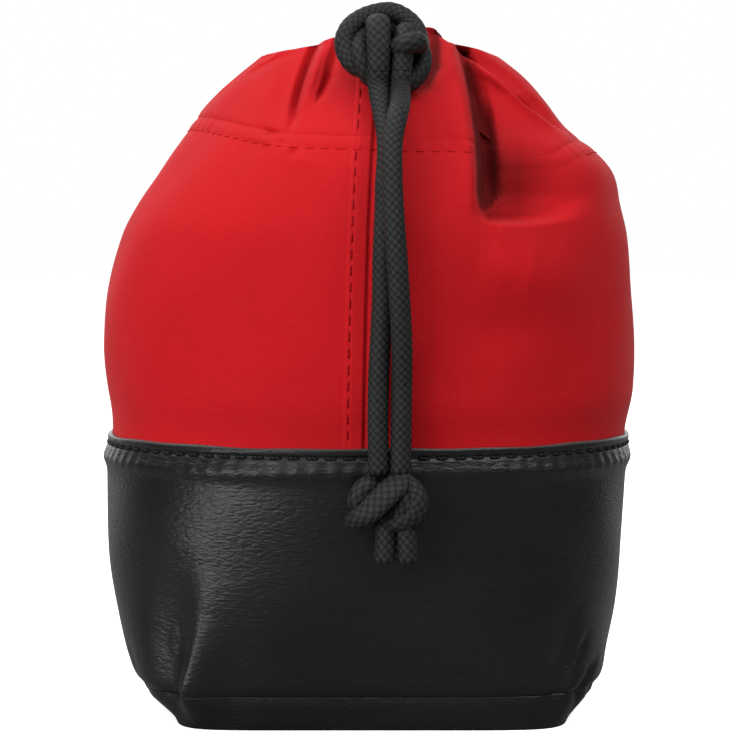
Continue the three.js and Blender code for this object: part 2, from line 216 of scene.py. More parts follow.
def cordPart(line, wide=None):
    # A ring of points about each point of the line, at the radius raised by the braid; the ends
    # round off over smaller rings and a pole. wide gives the cord's breadth along the line, as
    # (lengths, factors); where it is broad it is flat.
    tangents, sides, uppers = framesAlong(line)
    along = np.linalg.norm(line[1] - line[0]) * np.arange(len(line))
    angle = turn * cordU[:-1]
    lift = braid(angle[None], along[:, None])
    broad = np.interp(along, *wide) if wide else np.ones(len(line))
    share, past = np.array(cordEndRings).T
    past = cordLook["radius"] * past[:, None]
    centres = np.vstack([line[0] - tangents[0] * past[::-1], line, line[-1] + tangents[-1] * past])
    share = np.concatenate([share[::-1], np.ones(len(line)), share])
    extra = len(cordEndRings)
    sides, uppers, lift = (np.pad(x, ((extra, extra), (0, 0)), mode="edge") for x in (sides, uppers, lift))
    along, broad = (np.pad(x, extra, mode="edge") for x in (along, broad))
    reach = cordLook["radius"] * share[:, None] * (1 + cordLook["relief"] * (lift - 0.6))
    points = centres[:, None] + reach[..., None] * (
        np.cos(angle)[None, :, None] * sides[:, None] * broad[:, None, None]
        + np.sin(angle)[None, :, None] * uppers[:, None] / broad[:, None, None] ** 0.7)
    return gridPart(points[:, ::-1], cordU, along, {"braid": lift[:, ::-1]}, poles=True)


# Materials: expressions on values add the Math nodes


class Value:
    def __init__(self, nodes, socket):
        self.nodes = nodes
        self.socket = socket

    def math(self, operation, *others):
        return self.nodes.node("Math", {"operation": operation}, dict(enumerate((self, *others))))

    def __add__(self, other):
        return self.math("ADD", other)

    def __sub__(self, other):
        return self.math("SUBTRACT", other)

    def __rsub__(self, other):
        return self.nodes.node("Math", {"operation": "SUBTRACT"}, {0: other, 1: self})

    def __mul__(self, other):
        return self.math("MULTIPLY", other)

    __radd__ = __add__
    __rmul__ = __mul__

    def sine(self):
        return self.math("SINE")

    def size(self):
        return self.math("ABSOLUTE")

    def over(self, low, high):
        # 0 below low, 1 above high, and smooth between
        return self.nodes.node("MapRange", {"interpolation_type": "SMOOTHSTEP"}, {0: self, 1: low, 2: high})


class Nodes:
    # The node tree of a material or of the world
    def __init__(self, owner):
        owner.use_nodes = True
        self.tree = owner.node_tree

    def feed(self, socket, value):
        if isinstance(value, Value):
            self.tree.links.new(value.socket, socket)
        else:
            socket.default_value = value

    def node(self, kind, settings=None, sockets=None, out=0):
        made = self.tree.nodes.new("ShaderNode" + kind)
        for name, value in (settings or {}).items():
            setattr(made, name, value)
        for name, value in (sockets or {}).items():
            self.feed(made.inputs[name], value)
        return Value(self, made.outputs[out])

    def parts(self, place):
        split = self.node("SeparateXYZ", {}, {0: place}).socket.node
        return [Value(self, socket) for socket in split.outputs]


class Finish(Nodes):
    def __init__(self, name, **constants):
        self.material = bpy.data.materials.new(name)
        super().__init__(self.material)
        self.shader = next(n for n in self.tree.nodes if n.type == "BSDF_PRINCIPLED")
        for socket, value in constants.items():
            self.shader.inputs[socket.replace("_", " ")].default_value = value

    def mixed(self, share, first, second):
        return self.node("Mix", {"data_type": "RGBA"}, {0: share, 6: first, 7: second}, 2)

    def attribute(self, name):
        return self.node("Attribute", {"attribute_name": name}, out=2)

    def surfaceMap(self):
        place = self.node("UVMap", {"uv_map": "surface"})
        return place, *self.parts(place)[:2]

    def stretched(self, place, scale):
        return self.node("Mapping", {}, {"Vector": place, "Scale": scale})

    def objectPlace(self, scale=(1, 1, 1)):
        return self.stretched(self.node("TexCoord", out=3), scale)

    def noise(self, place, scale, detail=3.0, roughness=0.5):
        return self.node("TexNoise", {}, {"Vector": place, "Scale": scale, "Detail": detail, "Roughness": roughness})

    def finish(self, colour, roughness=None, height=None, distance=0.0001, strength=1.0):
        self.feed(self.shader.inputs["Base Color"], colour)
        if roughness is not None:
            self.feed(self.shader.inputs["Roughness"], roughness)
        if height is not None:
            bump = self.node("Bump", {}, {"Strength": strength, "Distance": distance, "Height": height})
            self.feed(self.shader.inputs["Normal"], bump)
        return self.material


def canvasFinish():
    # A plain weave: warp and weft threads bulge across themselves and pass over each other in turn.
    # fold is the colour of the painted shade in creases and inside the mouth
    look = {"pitch": 0.52, "colour": (0.58, 0.0075, 0.0125, 1), "dark": (0.42, 0.0025, 0.005, 1),
            "fold": (0.10, 0.0003, 0.0005, 1)}
    f = Finish("redCanvas", Sheen_Weight=0.04, Sheen_Roughness=0.35, Specular_IOR_Level=0.16)
    place, u, v = f.surfaceMap()
    drift = f.noise(place, 0.35, 2.0)
    warp = (u * (math.pi / look["pitch"]) + drift * 0.9).sine()
    weft = (v * (math.pi / look["pitch"]) + drift * 0.7).sine()
    over = (warp * weft).over(-0.2, 0.2)
    threads = over * warp.size() + (1 - over) * weft.size()
    slub = f.noise(f.stretched(place, (0.35, 2.2, 1)), 1.0, 3.0)
    broad = f.noise(f.objectPlace(), 55.0, 3.0)
    # deep carries painted shade: crease depth times each crease's dark share, and fixed shares inside the mouth
    deep = f.attribute("deep")
    shade = (threads * 0.45 + slub * 0.35 + broad * 0.5).over(0.25, 1.15)
    colour = f.mixed(shade, look["dark"], look["colour"])
    # painted shade: the cloth turns towards the fold colour where deep is high
    colour = f.mixed(deep.over(0.22, 1.15) * 0.95, colour, look["fold"])
    return f.finish(colour, 0.74 + broad * 0.14, threads + slub * 0.6, 0.00007, 0.28)


def leatherFinish():
    # Pebble grain: rounded cells between narrow creases, over finer pores and broad unevenness.
    # edge is the pale grey of the painted highlight on the rounded raw top edge
    look = {"cells": 1250.0, "dark": (0.0032, 0.0031, 0.0036, 1), "light": (0.0085, 0.0083, 0.0092, 1),
            "edge": (0.16, 0.155, 0.15, 1)}
    f = Finish("blackLeather", Specular_IOR_Level=0.30)
    place = f.objectPlace((0.5, 0.7, 1.5))
    bend = f.noise(place, 300.0, 2.0)
    cells = f.node("TexVoronoi", {"feature": "SMOOTH_F1"},
                   {"Vector": place, "Scale": look["cells"], "Smoothness": 0.5})
    creases = f.node("TexVoronoi", {"feature": "DISTANCE_TO_EDGE"},
                     {"Vector": place, "Scale": look["cells"] * 0.62})
    pores = f.noise(place, 2600.0, 4.0, 0.6)
    broad = f.noise(place, 45.0, 4.0)
    hills = (1 - cells) * 0.8 + creases.over(0.0, 0.22) * 0.35 + pores * 0.35 + bend * 0.6
    edgeHighlight = f.attribute("edgeHighlight")
    colour = f.mixed(broad.over(0.3, 0.75) * 0.7 + creases.over(0.0, 0.2) * 0.3, look["dark"], look["light"])
    # painted highlight: the rounded raw top edge is mixed towards pale grey
    colour = f.mixed(edgeHighlight, colour, look["edge"])
    roughness = 0.31 + pores * 0.08 + broad * 0.10 - creases.over(0.0, 0.2) * 0.03
    return f.finish(colour, roughness, hills, 0.00014, 0.5)


def cordFinish():
    # The braid's strands are painted lighter on their tops and darker in the crevices between them, as painted light
    # and shade; fine fibres run along each strand.
    look = {"dark": (0.003, 0.0036, 0.0036, 1), "light": (0.026, 0.0295, 0.0285, 1)}
    f = Finish("blackCord", Specular_IOR_Level=0.2)
    place, u, v = f.surfaceMap()
    tops = f.attribute("braid")
    fibres = (u * 420.0 + v * 24.0).sine() * 0.5 + (u * 420.0 - v * 24.0).sine() * 0.5
    fluff = f.noise(f.objectPlace(), 900.0, 3.0)
    # painted light and shade: lighter where the braid's relief is high
    colour = f.mixed((tops * 0.85 + fluff * 0.3).over(0.25, 1.05), look["dark"], look["light"])
    return f.finish(colour, 0.62 - tops * 0.12 + fluff * 0.1, fibres * 0.4 + fluff, 0.00006, 0.5)


def threadFinish(name, dark, light):
    # Two plies twist round each other along the thread.
    f = Finish(name, Roughness=0.7, Specular_IOR_Level=0.1)
    place, u, v = f.surfaceMap()
    plies = (u * turn * 2 + v * 9.0).sine()
    return f.finish(f.mixed(plies.over(-1.0, 1.0), dark, light), None, plies, 0.00005, 0.6)


def plainFinish(name, dark, light, scale, roughness, distance):
    # Brushed cloth, foam or board: noise at the scale of its fibres or pores.
    f = Finish(name)
    place = f.objectPlace()
    fine = f.noise(place, scale, 4.0, 0.6)
    broad = f.noise(place, 40.0, 2.0)
    return f.finish(f.mixed(fine * 0.6 + broad * 0.4, dark, light), roughness + fine * 0.1, fine, distance, 0.6)


redCanvas = canvasFinish()
blackLeather = leatherFinish()
blackCord = cordFinish()
blackThread = threadFinish("blackThread", (0.004, 0.004, 0.004, 1), (0.022, 0.022, 0.022, 1))
redThread = threadFinish("redThread", (0.28, 0.003, 0.006, 1), (0.42, 0.006, 0.010, 1))
hemThread = threadFinish("hemThread", (0.44, 0.005, 0.008, 1), (0.58, 0.0075, 0.0125, 1))
softLining = plainFinish("softLining", (0.02, 0.02, 0.023, 1), (0.055, 0.055, 0.06, 1), 1400.0, 0.85, 0.0002)
greyFoam = plainFinish("greyFoam", (0.10, 0.10, 0.105, 1), (0.2, 0.2, 0.205, 1), 1900.0, 0.85, 0.0002)
stiffBoard = plainFinish("stiffBoard", (0.2, 0.18, 0.14, 1), (0.32, 0.3, 0.25, 1), 700.0, 0.7, 0.0001)
print("materials made")

# The outer face: half widths, half depths and how square it is at each height, as in the frame

outline = {
    "z": [0, 1, 2.5, 5, 8.5, 12.6, 20, 30, 40, 53, 60, 71, 81, 92, 98, 104, 108, 113, 118.6,
             123.4, 128.2, 131.2],
    "left": [36.6, 37.4, 39.4, 42.8, 45.5, 47.4, 49.4, 51.4, 52, 51.8, 51.4, 52.4, 51.9, 48.8, 45.6,
             41.5, 38.9, 35.3, 31.4, 26.6, 21, 17.2],
    "right": [38.0, 38.8, 40.4, 43.2, 45.5, 46.6, 48.2, 49.9, 50.9, 52, 52.6, 52.8, 52.4, 51.8, 50.5,
             49.1, 45.9, 39.6, 34.9, 30.4, 24.3, 20.4],
    "deep": [42.9, 43.2, 43.5, 44.1, 44.8, 45.6, 47, 48.8, 50, 50.5, 50.8, 51.3, 51.1, 50, 48.1,
             45.2, 42.3, 37.8, 32.2, 27.4, 21.6, 17.4],
    "square": [8.5, 7.4, 6.4, 5.3, 4.6, 4.05, 3.4, 2.8, 2.45, 2.15, 2.1] + [2.05] * 11,
}


def outlineAt(key, z):
    return hermite(outline["z"], outline[key], z)


def faceRadius(azimuth, z):
    # The point of the superellipse (|x/wide|^n + |y/deep|^n = 1) that lies in this direction.
    s, c = np.sin(azimuth), np.cos(azimuth)
    wide = np.where(s < 0, outlineAt("left", z), outlineAt("right", z))
    n = outlineAt("square", z)
    return (np.abs(s / wide) ** n + np.abs(c / outlineAt("deep", z)) ** n) ** (-1 / n)


def onFace(azimuth, radius, z):
    return np.stack([radius * np.sin(azimuth), -radius * np.cos(azimuth), z + 0 * azimuth], -1)


def crease(path, deep, left, right, dark=1.0, above=None):
    # path is the (across, height) of its points. The depth and the widths to its left and right are one number each,
    # or one for each point. dark is how much painted shade it lays on the cloth for its depth, and above is an edge
    # that it stays above.
    return {"path": path, "deep": deep, "left": left, "right": right, "dark": dark, "above": above}


def creaseDepth(across, z, creases, unit=1.0, period=None):
    # Each crease follows a path. The nearest point on it, in mm over the cloth, gives how far along
    # the path a place lies, how far away, and on which side; the depth falls off as a Gaussian.
    # The second result is the painted shade that the creases lay on the cloth: each crease's depth times its dark
    # share.
    total = np.zeros(np.broadcast(across, z).shape)
    dark = np.zeros(total.shape)
    for fold in creases:
        path = fold["path"]
        nearest = np.full(total.shape, 1e9)
        along, side = np.zeros(total.shape), np.zeros(total.shape)
        for k, ((x0, z0), (x1, z1)) in enumerate(zip(path, path[1:])):
            away = across - x0
            if period:
                away = away - period * np.round(away / period)
            ax, az = away * unit, z - z0
            bx, bz = (x1 - x0) * unit, z1 - z0
            t = np.clip((ax * bx + az * bz) / (bx**2 + bz**2), 0, 1)
            distance = np.hypot(ax - t * bx, az - t * bz)
            closer = distance < nearest
            nearest = np.where(closer, distance, nearest)
            along = np.where(closer, k + t, along)
            side = np.where(closer, bx * az - bz * ax, side)
        deep, left, right = (np.interp(along, np.arange(len(path)), np.broadcast_to(fold[key], len(path)))
                             for key in ("deep", "left", "right"))
        depth = deep * np.exp(-(nearest / np.where(side > 0, left, right)) ** 2)
        if fold["above"]:
            edge, soft = (np.interp(across, fold["above"]["x"], fold["above"][key]) for key in ("z", "soft"))
            depth = depth * smoothstep(z - edge, 0, soft)
        total += depth
        dark += depth * fold["dark"]
    return total, dark


def radialDepth(azimuth, z, creases):
    return creaseDepth(np.degrees(azimuth), z, creases, outlineAt("deep", z) * math.pi / 180, 360)


def crowded(fine, places, dense, shares):
    # The numbers at these shares of the way along fine, closer together about each dense place
    # (place, width, extra).
    density = 1 + sum(extra * np.exp(-((places - at) / wide) ** 2) for at, wide, extra in dense)
    grown = np.concatenate([[0], np.cumsum((density[1:] + density[:-1]) / 2)])
    return np.interp(shares * grown[-1], grown, fine)


def columnsAround(count, dense):
    # Azimuths round the pouch, with the dense places in degrees
    fine = np.linspace(-math.pi, math.pi, 20001)
    return crowded(fine, np.degrees(fine), dense, np.arange(count) / count)


def spread(low, high, count, dense):
    fine = np.linspace(low, high, 4001)
    return crowded(fine, fine, dense, np.linspace(0, 1, count))


def ripples(azimuth, z, waves):
    # A sum of broad sines over azimuth and height: (amount, turns round, turns per mm, phase).
    return sum(a * np.sin(k * azimuth + m * turn * z + p) for a, k, m, p in waves)


# Canvas

canvasSet = {
    "low": 43.0, "leatherTop": 53.0, "behind": 0.9, "thick": 0.9, "rimStart": 131.2, "crown": 0.8,
    "holeRadius": 8.0, "mouthMiddle": 2.0, "columns": 680, "stitchBelow": 2.4, "mapRadius": 50.0,
    "darkest": 9.0,  # the crease depth at which the painted crease shade is full
}
seamHeights = {
    "at": [-180, -150, -120, -90, -66, -47, -25, -13, 0, 10, 26, 34, 47, 62, 75, 90, 120, 150],
    "z": [112, 112.6, 113.6, 115, 114.7, 113.4, 111, 110.4, 110.1, 109.8, 109.7, 108.6, 107, 109.4, 110.4,
          110.8, 111.4, 111.8],
}
rimLift = {
    "at": [-180, -140, -110, -85, -62, -45, -30, -20, -8, 6, 22, 34, 44, 52, 60, 74, 90, 115, 140, 160],
    "up": [-1.4, -1.8, -2.6, -3.8, -4.0, -3.6, -2.5, -1.2, -0.2, 0.1, 0.5, 1.0, 1.1, 0.0, -2.0, -3.8, -4.2, -2.6,
           -1.2, -1.4],
}
# The edge below the pocket right of the cords: its height along x, and how softly it turns in
pocketLip = {
    "x": [18, 20.2, 22.4, 26.3, 30.1, 35, 40, 46], "z": [96.2, 94.6, 93.9, 93.6, 93.6, 94.0, 94.8, 96.0],
    "soft": [1.2, 1.1, 1.2, 1.4, 1.8, 2.6, 4.6, 8.0],
}
# Creases of the front, by (x, z) on the face before it is creased; the cloth moves straight back by
# the depth, and a negative depth is a ridge.
# Each crease also paints shade into the cloth, by its depth and its dark share.
frontCreases = [
    # the deep fold left of the knot, and a hollow beside it
    crease([(-14.6, 111.2), (-13.8, 113.3), (-13.6, 116), (-12.9, 119.6), (-12, 123.1), (-10.8, 126.6),
            (-9.7, 129)], [0.5, 2.0, 3.8, 4.8, 5.2, 5.2, 4.6], [1.0, 1.0, 1.0, 1.0, 1.05, 1.15, 1.3],
           [0.6, 0.6, 0.6, 0.6, 0.65, 0.7, 0.9]),
    crease([(-16.6, 114), (-15.8, 118), (-14.6, 123), (-13, 128)], [0.2, 1.2, 1.8, 1.8],
           [2.0, 2.2, 2.4, 2.6], 1.6),
    # the narrow fold close to the knot
    crease([(-9.6, 116.2), (-9.0, 118.3), (-8.2, 120.3), (-7.7, 122), (-7.1, 125.4), (-6.3, 127.9),
            (-5.6, 131)], [0, 1.6, 2.4, 2.9, 3.2, 3.0, 2.6], 0.55, [0.8, 0.9, 1.0, 1.1, 1.1, 1.1, 1.1]),
    # the inner fold of the pocket right of the cords
    crease([(22.0, 96.0), (21.0, 97.4), (20.6, 100), (20.7, 104.5), (20.5, 110.3), (19.8, 117.6),
            (19.0, 123.9), (18.1, 128.5), (17.6, 131)], [1.0, 4.5, 5.5, 5.5, 5.2, 5.2, 5.4, 5.0, 4.2],
           [0.8, 0.7, 0.7, 0.7, 0.7, 0.7, 0.8, 0.9, 1.1], [2.2, 3.0, 3.4, 3.3, 2.7, 2.1, 1.7, 1.4, 1.2],
           dark=1.3),
    # the pocket
    crease([(22.1, 96.2), (22.0, 99.3), (22.2, 104), (21.9, 110.3), (20.9, 117.6), (19.6, 122.6),
            (18.2, 127)], [4.6, 6.2, 6.8, 5.4, 3.8, 2.8, 1.8], [1.6, 1.5, 1.5, 1.5, 1.4, 1.3, 1.2],
           [11.0, 11.5, 11.0, 9.0, 6.5, 4.5, 3.0], dark=1.0, above=pocketLip),
    # its undercut, above the lip
    crease([(21.5, 95), (24.5, 95), (29, 95), (34, 95.2), (40, 96), (47, 97)],
           [0, 3.5, 5.6, 4.0, 1.4, 0], [2.0, 6.0, 9.0, 10.0, 9.0, 8.0], 2.0, dark=0.3, above=pocketLip),
    # the bulge below it
    crease([(20, 87.0), (24, 86.6), (30, 85.4), (36, 84.4), (43, 83.4)], [0, -1.3, -2.5, -2.2, -0.6],
           6.6, 6.5),
    # the fold at its lower left corner
    crease([(21.6, 95.0), (23.2, 91.0), (25.4, 86.6)], [0.9, 0.8, 0.1], 1.1, 2.6),
    # a soft hollow lower down
    crease([(15, 77), (24, 74.6), (33, 73)], [0.1, 0.6, 0.2], 4.0, 4.5),
    # the edge that hangs over the pocket
    crease([(18.8, 98), (18.5, 104), (18.3, 110), (17.6, 117), (16.6, 124)],
           [-0.2, -0.7, -0.8, -0.8, -0.4], 1.8, 1.1),
    # the ridge between the two folds left of the knot
    crease([(-11.9, 115.5), (-11.1, 119.5), (-9.9, 123.5), (-8.8, 127)], [-0.1, -0.8, -1.0, -0.6], 0.7,
           0.9),
    # the second, narrow fold in the pocket
    crease([(22.7, 97.5), (23.2, 102), (23.2, 107.8), (23.0, 113.8), (22.6, 119)],
           [0.5, 1.8, 2.2, 2.2, 0.6], [1.4, 1.8, 2.0, 1.8, 1.4], 0.9, dark=1.2),
    # the ridge from the knot over the right shoulder
    crease([(18.6, 127.5), (21.8, 124.2), (25.1, 122), (28.8, 118.8), (31.4, 116.5), (34.8, 114),
            (38.4, 110.9)], [-1.0, -2.0, -2.6, -2.8, -2.6, -2.2, -0.8], 1.3, 1.5),
    # a crease on the left shoulder
    crease([(-24, 122.6), (-21.8, 123.8), (-19.1, 125.4), (-17.1, 126.3), (-14.9, 127.0)],
           [0.2, 0.9, 1.2, 1.0, 0.3], 0.6, 0.9),
    # puckers at the seam, left of the cords
    crease([(-19.8, 112.1), (-18.4, 111.0), (-16.8, 110.6)], [0.3, 1.3, 0.3], 0.8, 0.8),
    crease([(-17.4, 109.8), (-16.2, 109.1), (-15.2, 109.0)], [0.4, 1.3, 0.2], 0.7, 0.7),
    crease([(-15.1, 107.9), (-13.9, 107.1), (-12.7, 107.3)], [0.4, 1.3, 0.2], 0.7, 0.7),
    # ridges above and below them
    crease([(-23, 110.8), (-18.8, 109.7), (-15.6, 108.0), (-11, 106.2)], [-0.1, -0.8, -0.8, -0.1], 1.1,
           1.2),
    crease([(-20, 107.6), (-15, 106), (-9, 105)], [-0.1, -0.5, -0.1], 1.2, 1.6),
    # the recess right of the knot, which carries a painted shadow of the knot, and a ridge beside it
    crease([(4, 117.8), (8, 118.3), (11, 120.4), (12.8, 124), (13.3, 128), (13.4, 131)],
           [0.3, 1.6, 3.0, 3.6, 3.2, 2.6], [1.2, 1.8, 2.4, 2.8, 2.8, 2.6],
           [0.9, 1.1, 1.2, 1.2, 1.0, 0.9], dark=3.0),
    crease([(15.6, 121), (16.4, 125), (16.2, 131)], [0, -0.7, -1.0], 1.2, 0.9),
    # the dent behind the knot
    crease([(-2.4, 122), (-2.2, 126), (-2.0, 131)], [0, 1.0, 2.0], 1.2, 1.2),
    # a shallow hollow of the right shoulder, which is mostly painted shade
    crease([(33.5, 98), (34.5, 104), (36, 110), (38.5, 116)], [0.25, 0.5, 0.55, 0.3], 9.0, 12.0,
           dark=4.6),
]
# Creases of the sides and back, by (azimuth, z), which draw the cloth towards the middle and paint shade into it by
# their depth
backFolds = [
    (92, 121, 3.0, 1, 0.8, 0.5), (108, 98, 8.0, -4, 0.6, 1.3), (124, 118, 3.4, 3, 0.5, 0.8),
    (139, 104, 7.0, 5, 1.2, 0.6), (154, 119, 3.0, -2, 0.6, 0.8), (168, 96, 8.0, 3, 0.6, 1.3),
    (184, 117, 3.6, 2, 0.7, 0.6), (199, 103, 7.0, -5, 1.2, 0.7), (215, 119, 3.0, 1, 0.6, 0.9),
    (230, 98, 8.0, 4, 0.7, 1.3), (247, 120, 3.2, -2, 0.8, 0.6), (262, 110, 5.5, -3, 1.0, 0.7),
    (277, 121, 3.0, 1, 0.7, 0.7),
]
sideCreases = [
    # the folds that show at the outline, right and left
    crease([(71, 112.5), (69.9, 113.6), (67.1, 116.3), (62.6, 118.5), (61.6, 122.3), (58.9, 124.8),
            (56, 128), (55, 131)], [0.2, 1.6, 3.4, 4.4, 4.8, 4.8, 4.0, 3.4],
           [1.2, 1.4, 1.5, 1.6, 1.7, 1.7, 1.6, 1.6], 1.9),
    crease([(-86, 117), (-80, 122), (-74, 126), (-70, 131)], [0, 2.0, 3.6, 4.4], 2.4, 2.2),
    crease([(-57, 125.4), (-56, 128), (-55, 131)], [0, 1.4, 3.2], 1.4, 1.4),
] + [
    crease([(at, low), (at + lean * 0.5, (low + 131) / 2), (at + lean, 131)],
           [0, deep * 0.8, deep * 0.75], [3.6 * left, 3.0 * left, 2.2 * left],
           [3.6 * right, 3.0 * right, 2.2 * right])
    for at, low, deep, lean, left, right in backFolds
]
bodyWaves = [(0.22, 3, 0.011, 0.4), (0.18, 5, -0.017, 2.1), (0.14, 8, 0.023, 4.0), (0.10, 13, -0.031, 1.2)]
sideSeam = {"low": -4.3, "high": -2.5, "from": 55.0, "to": 124.0, "wide": 2.9}


def seamHeight(azimuth):
    return round360(seamHeights["at"], seamHeights["z"], azimuth)


def rimRise(azimuth):
    return round360(rimLift["at"], rimLift["up"], azimuth)


def canvasInset(z):
    # The canvas comes out from behind the leather's edge and swells to the full outline.
    return canvasSet["behind"] * (1 - smoothstep(z, canvasSet["leatherTop"], canvasSet["leatherTop"] + 9))


def sideSeamAt(z):
    share = (z - sideSeam["from"]) / (sideSeam["to"] - sideSeam["from"])
    return np.radians(sideSeam["low"] + (sideSeam["high"] - sideSeam["low"]) * share)


def seamDetail(azimuth, z):
    # The felled side seam: a raised lap between its stitches and its fold line, and a dip at each.
    x = (azimuth - sideSeamAt(z)) * faceRadius(azimuth, z)
    lap = 0.42 * smoothstep(x, -0.9, -0.1) * (1 - smoothstep(x, sideSeam["wide"] - 0.3, sideSeam["wide"] + 0.1))
    dips = 0.28 * np.exp(-((x - sideSeam["wide"] - 0.25) / 0.3) ** 2) + 0.2 * np.exp(-(x / 0.32) ** 2)
    return lap - dips


def hemDetail(azimuth, z):
    # The channel's seam: a valley at the seam, a puff over the turned allowance, a dip at the
    # stitches, and puckers that die out away from it.
    d = z - seamHeight(azimuth)
    u = azimuth * canvasSet["mapRadius"]
    valley = 0.22 * np.exp(-(d / 0.5) ** 2)
    puff = 0.16 * np.exp(-((d + 1.3) / 0.9) ** 2) + 0.10 * np.exp(-((d - 1.3) / 1.0) ** 2)
    dip = 0.10 * np.exp(-((d + canvasSet["stitchBelow"]) / 0.4) ** 2)
    wave = np.sin(u * 1.18 + 1.4 * np.sin(u * 0.13) + 0.28 * d) + 0.5 * np.sin(u * 0.71 + 1.1)
    return puff - valley - dip + 0.06 * wave * np.exp(-((d + 1.0) / 2.4) ** 2)


def liftedRim(azimuth, z):
    return z + rimRise(azimuth) * smoothstep(z, 119, 131.2)


def tightest(z):
    # The lining and the cord's cone inside need this much room.
    return 26.5 - 10.0 * smoothstep(z, 114.5, 121)


def clothAt(azimuth, z, inset=0.0, details=True):
    # A point of the canvas, and the painted shade of the creases there: how deep it lies in them, times each one's
    # dark share.
    z = z + 0 * azimuth
    full = faceRadius(azimuth, z) - canvasInset(z) - inset
    drawn, drawnShade = radialDepth(azimuth, z, sideCreases)
    radius = full - drawn + smoothstep(z, 54, 66) * ripples(azimuth, z, bodyWaves)
    inFront = smoothstep(np.cos(azimuth), 0.15, 0.45)
    back, backShade = (inFront * depth for depth in creaseDepth(radius * np.sin(azimuth), z, frontCreases))
    if details:
        radius = radius + seamDetail(azimuth, z) + hemDetail(azimuth, z) * (1 - smoothstep(back, 1.5, 4.0))
    x, y = radius * np.sin(azimuth), back - radius * np.cos(azimuth)
    least = np.minimum(full, tightest(z) - inset)
    scale = np.maximum(1, least / np.hypot(x, y))
    return np.stack([x * scale, y * scale, z], -1), drawnShade + backShade


canvasAzimuths = columnsAround(canvasSet["columns"], [(-2.5, 4.0, 2.2), (31, 9, 1.8), (-21, 7, 0.9), (62, 6, 0.6)])
canvasU = np.append(canvasAzimuths, canvasAzimuths[0] + turn) * canvasSet["mapRadius"]


def ringsPart(rows, key, u, closed=True):
    # rows of (points, the attribute's value, length along the map); open ends have poles.
    points, values, lengths = zip(*rows)
    values = np.stack([np.broadcast_to(value, len(u) - 1) for value in values])
    return gridPart(np.stack(points), u, np.array(lengths, float), {key: values}, closed, not closed)


def canvasWallPart():
    low, top = canvasSet["low"], seamHeight(canvasAzimuths) - 0.02
    outer = spread(0, 1, 112, [(0.97, 0.05, 2.6), (0.79, 0.04, 2.2)])
    inner = spread(0, 1, 30, [(0.9, 0.1, 3.0)])[::-1]
    rows = []
    for share, inset in [(share, 0) for share in outer] + [(0.9995, 0.25)] + [(share, 1) for share in inner]:
        points, depth = clothAt(canvasAzimuths, low + (top - low) * share,
                                inset * (canvasSet["thick"] + 0.3 * share), details=not inset)
        # the attribute is the painted crease shade, which the canvas turns into darker cloth
        rows.append((points, depth / canvasSet["darkest"], low + 69 * share))
    return ringsPart(rows, "deep", canvasU)


def roundRow(radius, z):
    a = canvasAzimuths
    return np.stack([canvasSet["mouthMiddle"] + radius * np.sin(a), -radius * np.cos(a), z + 0 * a], -1)


def channelPart():
    # Up the outer layer, over the rim into the hole, down the hole and the cone under the cord, and
    # back up inside the channel.
    a = canvasAzimuths
    low = seamHeight(a) + 0.02

    def wallRow(share, inset, details=True):
        return clothAt(a, liftedRim(a, low + (canvasSet["rimStart"] - low) * share), inset, details)

    rows = []
    # each row carries the painted crease shade as its attribute
    for share in (-0.02, *spread(0, 1, 64, [(0.02, 0.06, 1.6)])):
        points, depth = wallRow(share, 0.3 if share < 0 else 0.0)
        rows.append((points, depth / canvasSet["darkest"], 112 + 22 * share))
    outer, rimDepth, _ = rows[-1]
    pleats = np.cos(23 * a + 0.9 * np.sin(3 * a + 1) + 0.6 * np.sin(7 * a))
    holeHeight = canvasSet["rimStart"] - 0.8 + 0.8 * rimRise(a)
    hole = roundRow(canvasSet["holeRadius"] + 0.7 * pleats, holeHeight)

    def rimRow(t, under):
        row = outer + (hole - outer) * t
        swell = math.sin(math.pi * t)
        row[:, 2] += (canvasSet["crown"] + 0.6 * pleats) * swell - 2.4 * rimDepth * (1 - t) * min(4 * t, 1) - under
        return row

    # over the rim the painted shade fades towards the hole and is darker between the pleats
    for t in np.linspace(0, 1, 22)[1:]:
        rows.append((rimRow(t, 0), rimDepth * (1 - 0.6 * t) + 0.3 * (1 - pleats) * t, 134 + 10 * t))
    # the hole and the cone under the cord carry a fixed painted shade, darker between the pleats
    for radius, z, wave in (
            (7.9, holeHeight - 1.2, 0.7), (7.8, holeHeight - 2.8, 0.6), (7.9, 123.4, 0.5), (8.3, 122.2, 0.4),
            (13.7, 119.4, 0), (20.4, 116.0, 0)):
        rows.append((roundRow(radius + wave * pleats, z), 0.9 + 0.3 * (1 - pleats), rows[-1][2] + 2))
    inner = [clothAt(a, low + 0.2, 2.6, False)[0], clothAt(a, low + 0.9, 1.6, False)[0]]
    inner += [roundRow(radius, z) for radius, z in (
        (20.9, 117.0), (15.2, 120.0), (9.4, 122.9), (9.0, holeHeight - 1.8))]
    inner += [rimRow(t, 1.0) for t in (0.8, 0.55, 0.3, 0.1)]
    inner += [wallRow(share, canvasSet["thick"], False)[0] for share in np.linspace(0.97, 0.0, 26)]
    # the channel's inside layer carries a fixed painted shade
    for row in inner:
        rows.append((row, 1.3, rows[-1][2] + 3))
    return ringsPart(rows, "deep", canvasU)


canvasWall = makePiece("canvasWall", [canvasWallPart()], redCanvas, replaces=["canvas_wall"])
mouthChannel = makePiece("mouthChannel", [channelPart()], redCanvas, replaces=["mouth_channel"])

# Leather

